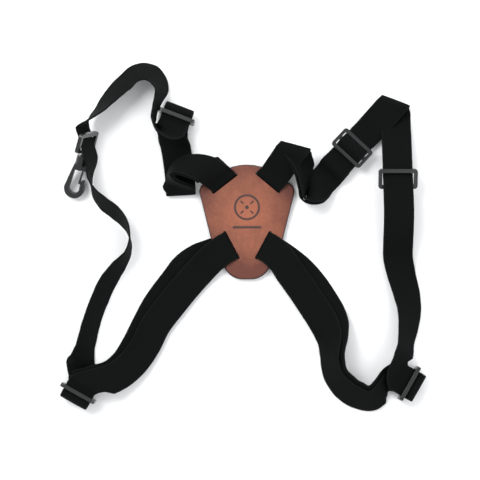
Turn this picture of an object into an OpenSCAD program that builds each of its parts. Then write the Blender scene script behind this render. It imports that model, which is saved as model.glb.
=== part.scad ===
/* [Webbing] */
// Width of the elastic webbing
web_w = 25.4; // [24:0.2:26]
// Thickness of the webbing
web_t = 1.6; // [1.2:0.1:1.7]

/* [Back patch] */
// Half of the patch's width at the shoulders
patch_half = 41; // [40:0.5:43]
// Height of the patch's top point above the row origin's line
patch_top = 70; // [66:0.5:72]
// Thickness of the leather face
leather_t = 2; // [1.6:0.1:2.2]
// Thickness of the stiff backing
backing_t = 1.8; // [1.4:0.1:1.8]
// Height of the backing's underside above the ground
patch_lift = 2.4; // [2.2:0.1:2.6]
// Length of a webbing slot
slot_len = 28.5; // [27:0.5:30]
// Width of a webbing slot
slot_w = 3.6; // [3:0.1:4]

/* [Tri-glides] */
// Outer length of a tri-glide, across the webbing
glide_len = 32; // [31:0.5:33]
// Outer width of a tri-glide, along the webbing
glide_w = 19; // [18.6:0.1:20]
// Thickness of a tri-glide
glide_t = 3.2; // [2.6:0.1:3.2]
// Width of each of its three bars
glide_bar = 3.2; // [2.8:0.1:3.4]
// Width of its end pieces
glide_end = 2.7; // [2.4:0.1:2.9]

/* [Snap hooks] */
// Outer length of the webbing loop, across the webbing
loop_len = 33; // [32:0.5:34]
// Outer width of the webbing loop
loop_w = 17; // [17:0.5:18]
// Thickness of the loop's bars
loop_bar = 3.2; // [3:0.1:3.4]
// Radius of the swivel post
post_r = 2.2; // [2:0.1:2.4]
// Running clearance of the swivel and the gate
clearance = 0.1; // [0.08:0.01:0.1]
// Outer radius of the swivel collar
collar_r = 5; // [5:0.1:5.2]
// Thickness of the hook's body
hook_t = 6; // [5:0.2:6]
// Outer radius of the hook's bend
hook_r = 8.6; // [8.4:0.1:8.8]
// Radius of the hook's eye at the bend
eye_r = 4.4; // [4:0.1:4.6]

/* [Hidden] */
$fn = 48;

black = [0.07, 0.075, 0.075];
plastic = [0.10, 0.10, 0.105];
tan_leather = [0.62, 0.36, 0.27];
dark_leather = [0.10, 0.06, 0.05];
half_w = web_w / 2;
ring_step = 3;      // spacing of the rings along a ribbon
max_spread = 1.08;  // most that a slanting crease widens a ring
layer_gap = 2.3;    // between the middles of two layers of a doubled loop

// Poses: place, heading of the long axis, tilt. Local x runs along the bars, y across them, z out.
glide_upper_left = [-54, 102, 10.5, -21, -90];
glide_lower_left = [-136, -132, 10, -29, 90];
glide_upper_right = [95, 75, 10, -43, 0];
glide_lower_right = [142, -124, 10, 60, 90];
// Poses: place, heading of the hook, dip of the hook, roll of the loop about the hook's axis
loop_left = [-129.5, 79, 18, 253, 18, 75];
loop_right = [133, 48, 18, 270, 17, 0];
loop_tip = 33;      // angle between a loop and the webbing that runs through it

// Webbing stations: place, then heading and dip of the line across the webbing
left_front_start = [
    [-56.5, 95.5, 17.4, 159, 0], [-59.3, 89.4, 19.2, 154, -8], [-65.4, 87, 20, 138, -42],
    [-71.2, 91.5, 19, 105, -70], [-73.2, 99, 17.5, 30, -84], [-72.2, 107.5, 16.2, 8, -84],
    [-69, 116, 15.5, 14, -76], [-66.6, 124, 14.5, 16, -66], [-69.4, 132.5, 13.5, 34, -56],
    [-74.6, 138.4, 12.5, 66, -48], [-81.5, 140.6, 12, 90, -46], [-89.4, 138.6, 11.8, 108, -45],
    [-97.4, 131.6, 12, 124, -46], [-105.9, 123.6, 13, 133, -50], [-113.2, 115, 14.5, 138, -57],
    [-119.4, 107, 16.5, 144, -66], [-127, 99.5, 18.6, 120, -76]
];
left_front_end = [
    [-127, 47, 14.8, 198, -92], [-123, 36, 13.8, 215, -76], [-116, 28, 13.2, 228, -67],
    [-106, 20, 13.2, 231, -66], [-99, 13, 13.4, 222, -72], [-94, 3, 13.6, 205, -83],
    [-93, -5, 13.6, 185, -90], [-95, -15, 13.6, 165, -98], [-102, -25, 13, 145, -112],
    [-111, -38, 12.5, 147, -120], [-118, -53, 12.3, 157, -121], [-123, -66, 12.3, 162, -120],
    [-127, -80, 12, 165, -122], [-130.4, -94, 11.7, 164, -124], [-132.8, -104, 9.4, 160, -138],
    [-134.8, -112.5, 3.3, 153, -177], [-134.1, -119.5, 3.1, 151, -180], [-132.6, -125.9, 3.1, 151, -180]
];
left_upper_out = [
    [-56.5, 95.5, 3.6, 159, 0], [-57.4, 86, 1.6, 172, 0], [-55, 76, 0.9, 182, 0],
    [-52.5, 60, 0.9, 184, 0], [-51, 46, 0.9, 183, 0], [-50.6, 39.5, 0.9, 183, 0],
    [-50.4, 35.8, 4.6, 183, 0], [-51, 39, 8.4, 181, -6], [-54.5, 42.5, 10.5, 175, -32],
    [-59, 47, 14, 158, -68], [-60.5, 52, 15.5, 138, -80], [-56.5, 57, 17, 112, -66],
    [-48.5, 59.5, 19, 92, -46], [-39, 59, 20.5, 76, -30], [-29, 56, 19.5, 60, -15]
];
left_upper_over = [[-20.5, 51, 13.5, 44, 0], [-16.2, 48.2, 8.6, 38, 0]];
left_upper_slot = [[-13.6, 45.7, 6.6, 38, 0], [-13, 45, 3.7, 38, 0], [-13.8, 45.9, 1.1, 38, 0]];
left_upper_under = [[-17, 48.8, 1.1, 38, 0], [-21.8, 54.2, 1.3, 40, 0], [-26.5, 57.5, 7, 48, -4]];
left_upper_end = [[-57, 84.5, 7.2, 168, 0], [-56.9, 94.5, 7.5, 159, 0]];
left_lower_out = [
    [-132.6, -125.9, 16.9, -29, 0], [-124.4, -122.8, 17.2, -37, 0], [-113.4, -121.8, 14.5, -52, 0],
    [-104, -118, 11, -60, 0], [-91, -107.5, 7.2, -47, 0], [-80, -92, 5, -33, 0],
    [-71.5, -75, 4.6, -30, 0], [-58, -57, 4.4, -38, 0], [-36, -31, 4.4, -42, 0],
    [-22, -17, 7.2, -52, 0], [-13, -10.5, 8, -62, 0], [-8, -7.7, 6.7, -62, 0], [-7.2, -7.1, 3.7, -62, 0],
    [-8, -7.7, 1.1, -62, 0], [-13, -10.3, 0.9, -62, 0], [-24, -14, 0.9, -66, 0],
    [-36, -18.5, 0.9, -60, 0], [-46, -25.5, 0.9, -48, 0], [-55, -37, 0.9, -37, 0],
    [-71, -59, 0.9, -33, 0], [-80, -76, 0.9, -29, 0], [-88.5, -93, 1.2, -31, 0],
    [-98, -108, 4.2, -42, 0], [-109, -117, 8.6, -56, 0], [-119, -119.8, 12.2, -48, 0],
    [-126, -121.2, 13, -33, 0], [-132.1, -125, 13, -29, 0]
];
right_upper_slot = [[24.2, 47.2, 1.1, -40, 0], [23.2, 46, 3.7, -40, 0], [23.9, 46.8, 6.9, -40, 0]];
right_upper_over = [[27.5, 50.3, 8.8, -39, 0], [33, 57.5, 14, -34, 0]];
right_upper_out = [
    [39.5, 66.5, 20, -25, 0], [44.5, 73, 22.4, -18, 0], [46.8, 76, 20.6, -15, 0],
    [46.9, 74.4, 16.8, -14, 0], [48.5, 68, 14.6, -11, -15], [51, 59, 13.6, -5, -45],
    [52, 48, 13.4, -2, -66], [51.6, 38, 13.6, 3, -78], [52.4, 31, 13.8, 28, -84],
    [56.5, 29.2, 13.6, 75, -80], [60.6, 32.8, 12, 112, -56], [64.3, 38.6, 7.8, 125, -28],
    [69, 46, 3.2, 133, -7], [75, 52.5, 1.2, 136, 0]
];
right_upper_under = [[35.5, 60.5, 8, -34, 0], [31.4, 55.8, 1.4, -38, 0], [27, 50.2, 1.1, -40, 0]];
right_upper_low_end = [[86.8, 66.2, 1, 137, 0]];
right_upper_top_end = [[84, 63.3, 8.9, 137, 0], [79, 58, 8.8, 137, 0]];
right_front_start = [
    [101.8, 82.3, 4.9, -43, 0], [108, 88.5, 4.2, -42, 0], [117, 98.5, 5.5, -38, 0],
    [126, 108.5, 7, -28, 0], [131, 114.2, 6.8, -22, 0], [133, 116.6, 4, -21, 0],
    [132.6, 114.2, 1.2, -21, 0], [133, 106, 1.2, -12, 0], [133, 97, 3, -3, 0], [133, 87, 6.6, 0, 0]
];
right_front_end = [
    [133, 20, 24.8, 0, 0], [133, 8, 22.5, 0, 0], [133, -6, 15.5, 0, 0], [133.5, -18, 8.5, 0, -4],
    [136.5, -32, 5, 6, -14], [141, -50, 6.4, 4, -22], [142.7, -64, 8.6, -4, -35],
    [141.2, -80, 10.6, -8, -46], [139.2, -91, 12, -6, -54], [137, -100.5, 14.6, 4, -48],
    [133.6, -108.2, 19.7, 24, -27], [131.8, -114.6, 19.3, 48, -9], [133.6, -119.2, 17.3, 60, 0],
    [135.9, -120.5, 17, 60, 0]
];
right_lower_out = [
    [135.9, -120.5, 3, 60, 0], [130.5, -118.6, 2.7, 64, 3], [125, -122.4, 4.8, 85, 19],
    [119, -132.2, 9.6, 105, 40],
    [110, -138.5, 10.8, 107, 46], [98, -136, 10.6, 72, 45], [86, -128, 10.8, 50, 46],
    [78, -117, 11.6, 22, 53], [75, -103, 12.2, 0, 57], [75, -91, 10.8, 2, 46],
    [74, -82, 7.8, 12, 26], [70, -72, 5.4, 26, 8], [62, -59, 4.4, 32, 0], [52, -44, 4.4, 36, 0],
    [42, -30, 5.2, 44, 0], [33, -17.5, 7.4, 54, 0], [25, -10.5, 8, 62, 0], [20, -7.6, 6.7, 62, 0],
    [19.2, -7.1, 3.7, 62, 0], [20, -7.6, 1.1, 62, 0], [25, -10.3, 0.9, 62, 0], [38, -18.5, 0.9, 56, 0],
    [52, -30, 0.9, 44, 0], [61.5, -41, 0.9, 37, 0], [70, -53.5, 0.9, 33, 0], [76.5, -65, 1.8, 28, 4],
    [80, -75, 5.4, 18, 20], [80.5, -86, 10.4, 6, 40], [79.6, -98, 13.6, 2, 54],
    [81.8, -115, 13.4, 22, 53], [89, -124.6, 12.2, 50, 46], [99.4, -131.6, 11.8, 72, 45],
    [108.8, -134.6, 12.2, 100, 44], [121, -123.2, 10.2, 92, 26], [128.5, -118.3, 7, 66, 2],
    [135.1, -120, 7, 60, 0]
];

// Places are given from the middle of the back patch's slots; this puts the whole spread over the origin
module home() { translate([-2.5, -1, 0.29]) children(); }

// Vector helpers
function unit(v) = v / norm(v);
function aim(heading, dip) = [cos(heading) * cos(dip), sin(heading) * cos(dip), sin(dip)];
function laid(list) = [for (s = list) [[s[0], s[1], s[2]], aim(s[3], s[4])]];

// Axes of a webbing loop: along its hook, along its long bars, square to its face, and along the
// webbing that runs through it
function hook_axis(p) = [cos(p[3]) * cos(p[4]), sin(p[3]) * cos(p[4]), -sin(p[4])];
function side_axis(p) = [-sin(p[3]), cos(p[3]), 0];
function rise_axis(p) = cross(hook_axis(p), side_axis(p));
function long_axis(p) = side_axis(p) * cos(p[5]) - rise_axis(p) * sin(p[5]);
function face_axis(p) = side_axis(p) * sin(p[5]) + rise_axis(p) * cos(p[5]);
function run_axis(p) = hook_axis(p) * cos(loop_tip) + face_axis(p) * sin(loop_tip);
function run_through(p, from, to) =
    [for (d = [from, from + 6, to - 6, to]) [[p[0], p[1], p[2]] + run_axis(p) * d, long_axis(p)]];

// Slope of the curve at station i, weighted by the spans on either side of it
function slope(q, i) =
    i == 0 ? unit(q[1] - q[0])
    : i == len(q) - 1 ? unit(q[i] - q[i - 1])
    : let (a = norm(q[i] - q[i - 1]), b = norm(q[i + 1] - q[i]))
      (b * (q[i] - q[i - 1]) / a + a * (q[i + 1] - q[i]) / b) / (a + b);

// Point at u from 0 to 1 on the cubic between two points with given slopes over span h
function cubic(p, q, mp, mq, h, u) =
    (2 * u * u * u - 3 * u * u + 1) * p + (u * u * u - 2 * u * u + u) * h * mp
    + (3 * u * u - 2 * u * u * u) * q + (u * u * u - u * u) * h * mq;

// Rings along the stations: [centre, line across the webbing]
function rings(st) =
    let (q = [for (s = st) s[0]])
    [for (i = [0:len(q) - 2])
        let (h = norm(q[i + 1] - q[i]), n = max(2, ceil(h / ring_step)))
        for (k = [0:n - (i == len(q) - 2 ? 0 : 1)])
            let (u = k / n)
            [cubic(q[i], q[i + 1], slope(q, i), slope(q, i + 1), h, u),
             unit(st[i][1] * (1 - u) + st[i + 1][1] * u)]];

// Direction of travel at ring i
function travel(r, i) = unit(r[min(i + 1, len(r) - 1)][0] - r[max(i - 1, 0)][0]);

// Stations moved off the webbing's face by d, a list in reverse, and stations a to b of a list
function beside(st, d) =
    let (q = [for (s = st) s[0]])
    [for (i = [0:len(q) - 1]) [q[i] + unit(cross(st[i][1], slope(q, i))) * d, st[i][1]]];
function turned(list) = [for (i = [len(list) - 1:-1:0]) list[i]];
function part(list, a, b) = [for (i = [a:b]) list[i]];

// Flat webbing swept along the rings: four corners to a ring, closed at both ends
module webbing(r) {
    n = len(r);
    corners = [for (i = [0:n - 1])
        let (t = travel(r, i), c = cross(r[i][1], t),
             side = r[i][1] * half_w * min(1 / norm(c), max_spread), up = unit(c) * web_t / 2)
        each [r[i][0] - side - up, r[i][0] + side - up, r[i][0] + side + up, r[i][0] - side + up]];
    walls = [for (i = [0:n - 2], k = [0:3])
        let (a = 4 * i + k, b = 4 * i + (k + 1) % 4)
        each [[a, b, b + 4], [a, b + 4, a + 4]]];
    polyhedron(corners, concat([[2, 1, 0], [3, 2, 0]], walls,
        [[4 * n - 4, 4 * n - 3, 4 * n - 2], [4 * n - 4, 4 * n - 2, 4 * n - 1]]), convexity = 10);
}

/* Back patch */

// Patch outline: corners on the right with their rounding, mirrored to the left
patch_x = 5.7;
patch_corners = [[0, patch_top, 42], [patch_half, 41.5, 8], [29.5, -3, 18], [13.5, -35.6, 17]];

// Arc that rounds corner b between a and c
function rounding(a, b, c, r) =
    let (u = unit(a - b), v = unit(c - b), half = acos(u * v) / 2,
         centre = b + unit(u + v) * r / sin(half), from = b + u * r / tan(half),
         to = b + v * r / tan(half), s = atan2(from[1] - centre[1], from[0] - centre[0]),
         e = atan2(to[1] - centre[1], to[0] - centre[0]), turn = (e - s + 540) % 360 - 180)
    [for (k = [0:8]) centre + r * [cos(s + turn * k / 8), sin(s + turn * k / 8)]];

module patch_outline(grow) {
    right = [for (c = patch_corners) [c[0] + (c[0] > 0 ? grow : 0), c[1] + sign(c[1] - 20) * grow]];
    loop = concat(right, [for (i = [len(right) - 1:-1:1]) [-right[i][0], right[i][1]]]);
    radius = concat([for (c = patch_corners) c[2]],
        [for (i = [len(right) - 1:-1:1]) patch_corners[i][2]]);
    n = len(loop);
    translate([patch_x, 0])
        polygon([for (i = [0:n - 1])
            each rounding(loop[(i + n - 1) % n], loop[i], loop[(i + 1) % n], radius[i])]);
}

// Slot centres with the heading of each slot
slots = [[-13, 45, 38], [23.2, 46, -40], [-7.2, -7.1, -62], [19.2, -7.1, 62]];

module slot_cuts() {
    reach = (slot_len - slot_w) / 2;
    for (s = slots)
        translate([s[0], s[1]]) rotate(s[2]) {
            square([2 * reach, slot_w], center = true);
            for (x = [-reach, reach]) translate([x, 0]) circle(r = slot_w / 2);
        }
}

module patch_leather() {
    color(tan_leather) home()
        translate([0, 0, patch_lift + backing_t])
            linear_extrude(leather_t) difference() {
                patch_outline(0);
                slot_cuts();
            }
}

module patch_backing() {
    color(dark_leather) home()
        translate([0, 0, patch_lift])
            linear_extrude(backing_t) difference() {
                patch_outline(0.6);
                slot_cuts();
            }
}

// Plain printed mark: a ring with four ticks and a dot, over a bar
module patch_mark() {
    mark_y = 25;
    color(dark_leather) home()
        translate([patch_x, mark_y, patch_lift + backing_t + leather_t])
            linear_extrude(0.25) {
                difference() {
                    circle(r = 11);
                    circle(r = 9.4);
                }
                circle(r = 1.6);
                for (a = [45:90:315]) rotate(a) translate([4.2, -0.6]) square([3.4, 1.2]);
                translate([-12, -18]) square([24, 1.8]);
            }
}

/* Webbing */

// The outer layer runs from the tri-glide to the slot, and the inner one back under it
module left_upper_loop() {
    outer = laid(left_upper_out);
    inner = part(beside(outer, layer_gap), 2, len(outer) - 1);
    color(black) home() webbing(rings(concat(outer, laid(left_upper_over), laid(left_upper_slot),
        laid(left_upper_under), turned(inner), laid(left_upper_end))));
}

module left_front_strap() {
    color(black) home() webbing(rings(concat(laid(left_front_start), run_through(loop_left, -14, 14),
        laid(left_front_end))));
}

module left_lower_loop() { color(black) home() webbing(rings(laid(left_lower_out))); }

module right_upper_loop() {
    outer = laid(concat(right_upper_over, right_upper_out));
    inner = part(beside(outer, -layer_gap), 2, len(outer) - 1);
    color(black) home() webbing(rings(concat(laid(right_upper_top_end), turned(inner),
        laid(right_upper_under), laid(right_upper_slot), outer, laid(right_upper_low_end))));
}

module right_front_strap() {
    color(black) home() webbing(rings(concat(laid(right_front_start), run_through(loop_right, -30, 20),
        laid(right_front_end))));
}

module right_lower_loop() { color(black) home() webbing(rings(laid(right_lower_out))); }

/* Tri-glides and what is sewn to them */

module at_glide(p) { home() translate([p[0], p[1], p[2]]) rotate([p[4], 0, p[3]]) children(); }

module rounded(w, h, r) {
    square([w, h - 2 * r], center = true);
    square([w - 2 * r, h], center = true);
    for (x = [-1, 1], y = [-1, 1]) translate([x * (w / 2 - r), y * (h / 2 - r)]) circle(r = r);
}

module tri_glide(p) {
    gap = (glide_w - 3 * glide_bar) / 2;
    color(plastic) at_glide(p)
        translate([0, 0, -glide_t / 2]) linear_extrude(glide_t) difference() {
            rounded(glide_len, glide_w, 2.6);
            for (y = [-1, 1]) translate([0, y * (glide_bar + gap) / 2])
                rounded(glide_len - 2 * glide_end, gap, 0.8);
        }
}

// Webbing bent in the plane across a tri-glide: each point is [along, out]
module bent(p, line) {
    color(black) at_glide(p)
        webbing(rings([for (q = line) [[0, q[0], q[1]], [1, 0, 0]]]));
}

// Loose bight over the middle bar, and the sewn end round it, on a standing tri-glide
standing_bight = [[5, -12], [5, -7], [4.95, -1], [5, 1.8], [6, 4.4], [5, 7], [2.4, 8.5], [0, 8.9],
    [-2.4, 8.5], [-5, 7], [-6, 4.4], [-5, 1.8], [-4.95, -1], [-5, -7], [-5, -12]];
standing_end = [[0.95, -13.5], [0.95, -8], [1.6, -5.4], [2.6, -3], [2.8, 1.4], [1.9, 2.9], [0, 3.5],
    [-1.9, 2.9], [-2.8, 1.4], [-2.6, -3], [-1.6, -5.4], [-0.95, -8], [-0.95, -13.5]];
// The same on a tri-glide that lies in line with its webbing
flat_bight = [[-21, -3.1], [-9, -3.1], [-6.3, -3], [-5, -1.7], [-4.9, 1], [-4.7, 3.4], [-3, 5.8],
    [0, 6.6], [3, 5.8], [4.7, 3.4], [4.9, 1], [5, -1.7], [6.3, -3], [9, -3.1], [14.5, -3.1]];
flat_end = [[-19, -7], [-11, -7], [-8, -7], [0.5, -6.4], [2.9, -3.8], [2.9, -1], [2.8, 1.4], [1.9, 2.9], [0, 3.5],
    [-1.9, 2.9], [-2.8, 1.4], [-2.9, -2.4], [-5.5, -5], [-12, -5.1], [-19, -5.1]];

// Raised stitching on both faces of a sewn end, whose middle is at [along, out]
module bar_tack(p, mid, flat) {
    depth = 0.3;
    reach = 0.95 + web_t / 2 + depth / 2;
    color(black) at_glide(p)
        for (side = [-1, 1])
            translate([0, mid[0] + (flat ? 0 : side * reach), mid[1] + (flat ? side * reach : 0)])
                cube([20, flat ? 2.4 : depth, flat ? depth : 2.4], center = true);
}

/* Snap hooks */

module at_hook(p) {
    home() translate([p[0], p[1], p[2]]) rotate([0, 0, p[3] + 90]) rotate([p[4], 0, 0]) children();
}

collar_top = 12.4;      // from the loop's middle to the collar
collar_end = 20.6;
head_top = 15.5;        // underside of the post's head
head_end = 17.5;
head_r = 3.4;
bend_y = -41;           // middle of the hook's bend and eye
nose_y = -34.5;
hinge_x = 3.3;          // gate hinge
hinge_y = -23.2;
hinge_r = 1.4;

module hook_loop(p) {
    color(plastic) at_hook(p) rotate([0, p[5], 0]) {
        translate([0, 0, -loop_bar / 2]) linear_extrude(loop_bar) difference() {
            rounded(loop_len, loop_w, 2.8);
            rounded(loop_len - 2 * loop_bar, loop_w - 2 * loop_bar, 1);
        }
        translate([0, -loop_w / 2 + 0.8, 0]) rotate([90, 0, 0])
            cylinder(r = post_r, h = head_end - loop_w / 2 + 0.8 - 0.4);
        translate([0, -head_top, 0]) rotate([90, 0, 0]) cylinder(r = head_r, h = head_end - head_top);
    }
}

module hook_outline() {
    difference() {
        union() {
            translate([0, bend_y]) circle(r = hook_r);
            polygon([[-4.6, -19], [4.6, -19], [5.8, -22], [6, -25], [hook_r, bend_y],
                [-hook_r, bend_y], [-6, -25], [-5.4, -22]]);
            translate([5.8, nose_y]) circle(r = 1.75);
        }
        translate([0, bend_y]) circle(r = eye_r);
        polygon([[-eye_r, bend_y], [-3.5, -25], [3.2, -25], [eye_r, bend_y]]);
        translate([1.6, nose_y]) square([2.2, -24.3 - nose_y]);
        difference() {
            translate([3.4, nose_y]) square([8, -24.3 - nose_y]);
            translate([5.8, nose_y]) circle(r = 1.75);
        }
        translate([hinge_x, hinge_y]) circle(r = hinge_r + clearance);
    }
}

module snap_hook(p) {
    color(plastic) at_hook(p) {
        difference() {
            union() {
                translate([0, 0, -hook_t / 2]) linear_extrude(hook_t) hook_outline();
                translate([0, -collar_top, 0]) rotate([90, 0, 0])
                    cylinder(r = collar_r, h = collar_end - collar_top);
            }
            translate([0, 1 - collar_top, 0]) rotate([90, 0, 0])
                cylinder(r = post_r + clearance, h = head_top - collar_top + 1);
            translate([0, clearance - head_top, 0]) rotate([90, 0, 0])
                cylinder(r = head_r + clearance, h = head_end - head_top + 2 * clearance);
        }
    }
}

module hook_gate(p) {
    gate_t = 4.6;
    knuckle = [for (a = [-67:7.925:250]) [hinge_x, hinge_y] + hinge_r * [cos(a), sin(a)]];
    color(plastic) at_hook(p) translate([0, 0, -gate_t / 2]) linear_extrude(gate_t)
        polygon(concat(knuckle, [[2.79, -25.4], [2, -36.2], [3.65, -36.2], [3.85, -25]]));
}

patch_leather();
patch_backing();
patch_mark();
left_upper_loop();
left_front_strap();
left_lower_loop();
right_upper_loop();
right_front_strap();
right_lower_loop();
tri_glide(glide_upper_left);  // tri_glide_upper_left
tri_glide(glide_lower_left);  // tri_glide_lower_left
tri_glide(glide_upper_right);  // tri_glide_upper_right
tri_glide(glide_lower_right);  // tri_glide_lower_right
bent(glide_upper_left, standing_bight);  // bight_upper_left
bent(glide_lower_left, standing_bight);  // bight_lower_left
bent(glide_upper_right, flat_bight);  // bight_upper_right
bent(glide_lower_right, standing_bight);  // bight_lower_right
bent(glide_upper_left, standing_end);  // sewn_end_upper_left
bent(glide_lower_left, standing_end);  // sewn_end_lower_left
bent(glide_upper_right, flat_end);  // sewn_end_upper_right
bent(glide_lower_right, standing_end);  // sewn_end_lower_right
bar_tack(glide_upper_left, [0, -11], false);  // bar_tack_upper_left
bar_tack(glide_lower_left, [0, -11], false);  // bar_tack_lower_left
bar_tack(glide_upper_right, [-15, -6.05], true);  // bar_tack_upper_right
bar_tack(glide_lower_right, [0, -11], false);  // bar_tack_lower_right
hook_loop(loop_left);  // hook_loop_left
hook_loop(loop_right);  // hook_loop_right
snap_hook(loop_left);  // snap_hook_left
snap_hook(loop_right);  // snap_hook_right
hook_gate(loop_left);  // hook_gate_left
hook_gate(loop_right);  // hook_gate_right
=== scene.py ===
"""Binocular harness: elastic webbing, a leather back patch, tri-glides and swivelling snap hooks."""

import logging
import math
from dataclasses import dataclass, field
from enum import Enum
from typing import Sequence

import bmesh
import bpy
import numpy as np
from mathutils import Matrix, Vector

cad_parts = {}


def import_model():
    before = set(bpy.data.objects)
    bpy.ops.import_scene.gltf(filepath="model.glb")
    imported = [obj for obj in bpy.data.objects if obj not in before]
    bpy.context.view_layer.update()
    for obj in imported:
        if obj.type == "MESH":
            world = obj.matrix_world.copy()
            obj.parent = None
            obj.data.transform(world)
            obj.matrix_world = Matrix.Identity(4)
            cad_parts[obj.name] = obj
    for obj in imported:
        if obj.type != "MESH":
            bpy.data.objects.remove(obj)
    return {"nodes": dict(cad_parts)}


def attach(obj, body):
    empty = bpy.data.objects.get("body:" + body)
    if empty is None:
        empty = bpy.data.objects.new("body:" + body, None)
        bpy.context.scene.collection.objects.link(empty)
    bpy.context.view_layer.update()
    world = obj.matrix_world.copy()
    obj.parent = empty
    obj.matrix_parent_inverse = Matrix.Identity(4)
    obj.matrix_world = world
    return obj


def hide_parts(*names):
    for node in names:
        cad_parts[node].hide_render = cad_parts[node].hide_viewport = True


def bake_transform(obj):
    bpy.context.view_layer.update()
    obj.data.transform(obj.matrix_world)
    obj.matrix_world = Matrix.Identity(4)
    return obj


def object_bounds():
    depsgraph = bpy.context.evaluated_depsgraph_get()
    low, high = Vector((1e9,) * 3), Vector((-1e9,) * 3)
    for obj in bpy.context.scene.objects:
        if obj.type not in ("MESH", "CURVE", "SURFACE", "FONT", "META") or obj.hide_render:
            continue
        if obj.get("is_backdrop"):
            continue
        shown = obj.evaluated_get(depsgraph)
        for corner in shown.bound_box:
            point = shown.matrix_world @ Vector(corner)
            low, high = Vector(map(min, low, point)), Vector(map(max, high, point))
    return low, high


LOG = logging.getLogger("harness")
MM = 0.001
HOME = np.array([-2.5, -1.0, 0.29]) * MM
WEB_HALF = 12.7 * MM
WEB_THICK = 1.6 * MM
Row = Sequence[float]
Triple = tuple[float, float, float]
End = tuple[str, bool]
Socket = bpy.types.NodeSocket
Node = bpy.types.Node
Thing = bpy.types.Object
Material = bpy.types.Material


# ---------------------------------------------------------------- vector helpers


def unit(v: np.ndarray) -> np.ndarray:
    """Vectors along the last axis brought to length one.

    Args:
        v: Array whose last axis holds the vectors.

    Returns:
        Array of the same shape: each vector over its own length.
    """
    return v / np.linalg.norm(v, axis=-1, keepdims=True)


def smooth(x: np.ndarray, low: float, high: float) -> np.ndarray:
    """Smooth step: 3t^2 - 2t^3 of the share t of the way from low to high.

    Args:
        x: Values to pass through the step.
        low: Value at which the step starts.
        high: Value at which it is complete.

    Returns:
        Array of values from 0 to 1.
    """
    t = np.clip((x - low) / (high - low), 0.0, 1.0)
    return t * t * (3.0 - 2.0 * t)


# ---------------------------------------------------------------- mesh building


@dataclass
class Sheet:
    """Grid of points over two parameters, closed round the second one.

    Attributes:
        points: Array (rows, columns, 3) of places in metres.
        uv: Array (rows, columns + 1, 2) of pattern coordinates in metres.
    """

    points: np.ndarray
    uv: np.ndarray

    def faces(self) -> tuple[np.ndarray, np.ndarray]:
        """Four-sided faces between neighbouring rows and columns.

        Returns:
            Corner indices (faces, 4) and pattern coordinates (faces, 4, 2).
        """
        rows, cols = self.points.shape[:2]
        i, j = np.meshgrid(np.arange(rows - 1), np.arange(cols), indexing="ij")
        i, j = i.ravel(), j.ravel()
        k = (j + 1) % cols
        corners = np.stack([i * cols + j, i * cols + k, (i + 1) * cols + k, (i + 1) * cols + j], axis=1)
        uv = np.stack([self.uv[i, j], self.uv[i, j + 1], self.uv[i + 1, j + 1], self.uv[i + 1, j]], axis=1)
        return corners, uv

    def build(self, name: str) -> Thing:
        """Makes the closed mesh, with the first and last rows as its end caps.

        Args:
            name: Name of the new object.

        Returns:
            The object, with its faces pointing outwards.
        """
        rows, cols = self.points.shape[:2]
        flat = self.points.reshape(-1, 3)
        quads, uv = self.faces()
        a, b, c, d = (flat[quads[:, n]] for n in range(4))
        volume = np.einsum("ij,ij->", a, np.cross(b, c)) + np.einsum("ij,ij->", a, np.cross(c, d))
        caps = [np.arange(cols)[::-1], (rows - 1) * cols + np.arange(cols)]
        if volume < 0:
            quads, uv = quads[:, ::-1], uv[:, ::-1]
            caps = [cap[::-1] for cap in caps]
        mesh = bpy.data.meshes.new(name)
        mesh.from_pydata(flat.tolist(), [], quads.tolist() + [cap.tolist() for cap in caps])
        layer = mesh.uv_layers.new(name="UVMap")
        corner_uv = np.zeros((len(mesh.loops), 2), dtype=np.float32)
        corner_uv[: quads.size] = uv.reshape(-1, 2)
        layer.data.foreach_set("uv", corner_uv.ravel())
        mesh.polygons.foreach_set("use_smooth", np.ones(len(mesh.polygons), dtype=bool))
        mesh.set_sharp_from_angle(angle=math.radians(50))
        mesh.update()
        obj = bpy.data.objects.new(name, mesh)
        bpy.context.scene.collection.objects.link(obj)
        return obj


def tube(name: str, points: np.ndarray, radius: float, sides: int = 6) -> Thing:
    """Round thread along a line: each ring is the line's point plus the radius times
    (cosine of the side vector plus sine of the upright vector), both square to the travel.

    Args:
        name: Name of the new object.
        points: Array (n, 3) of points along the thread.
        radius: Radius of the thread.
        sides: Corners of each ring.

    Returns:
        The closed thread.
    """
    travel = unit(np.gradient(points, axis=0))
    guide = unit(np.cross(travel, unit(points[-1] - points[0]) + 1e-9))
    across = unit(np.cross(travel, guide))
    turn = np.linspace(0, 2 * np.pi, sides, endpoint=False)
    rings = (
        points[:, None]
        + radius * np.cos(turn)[None, :, None] * guide[:, None]
        + radius * np.sin(turn)[None, :, None] * across[:, None]
    )
    along = np.concatenate([[0], np.cumsum(np.linalg.norm(np.diff(points, axis=0), axis=1))])
    u, v = np.meshgrid(along, np.linspace(0, 2 * np.pi * radius, sides + 1), indexing="ij")
    return Sheet(rings, np.stack([v, u], axis=-1)).build(name)


# ---------------------------------------------------------------- webbing


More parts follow.
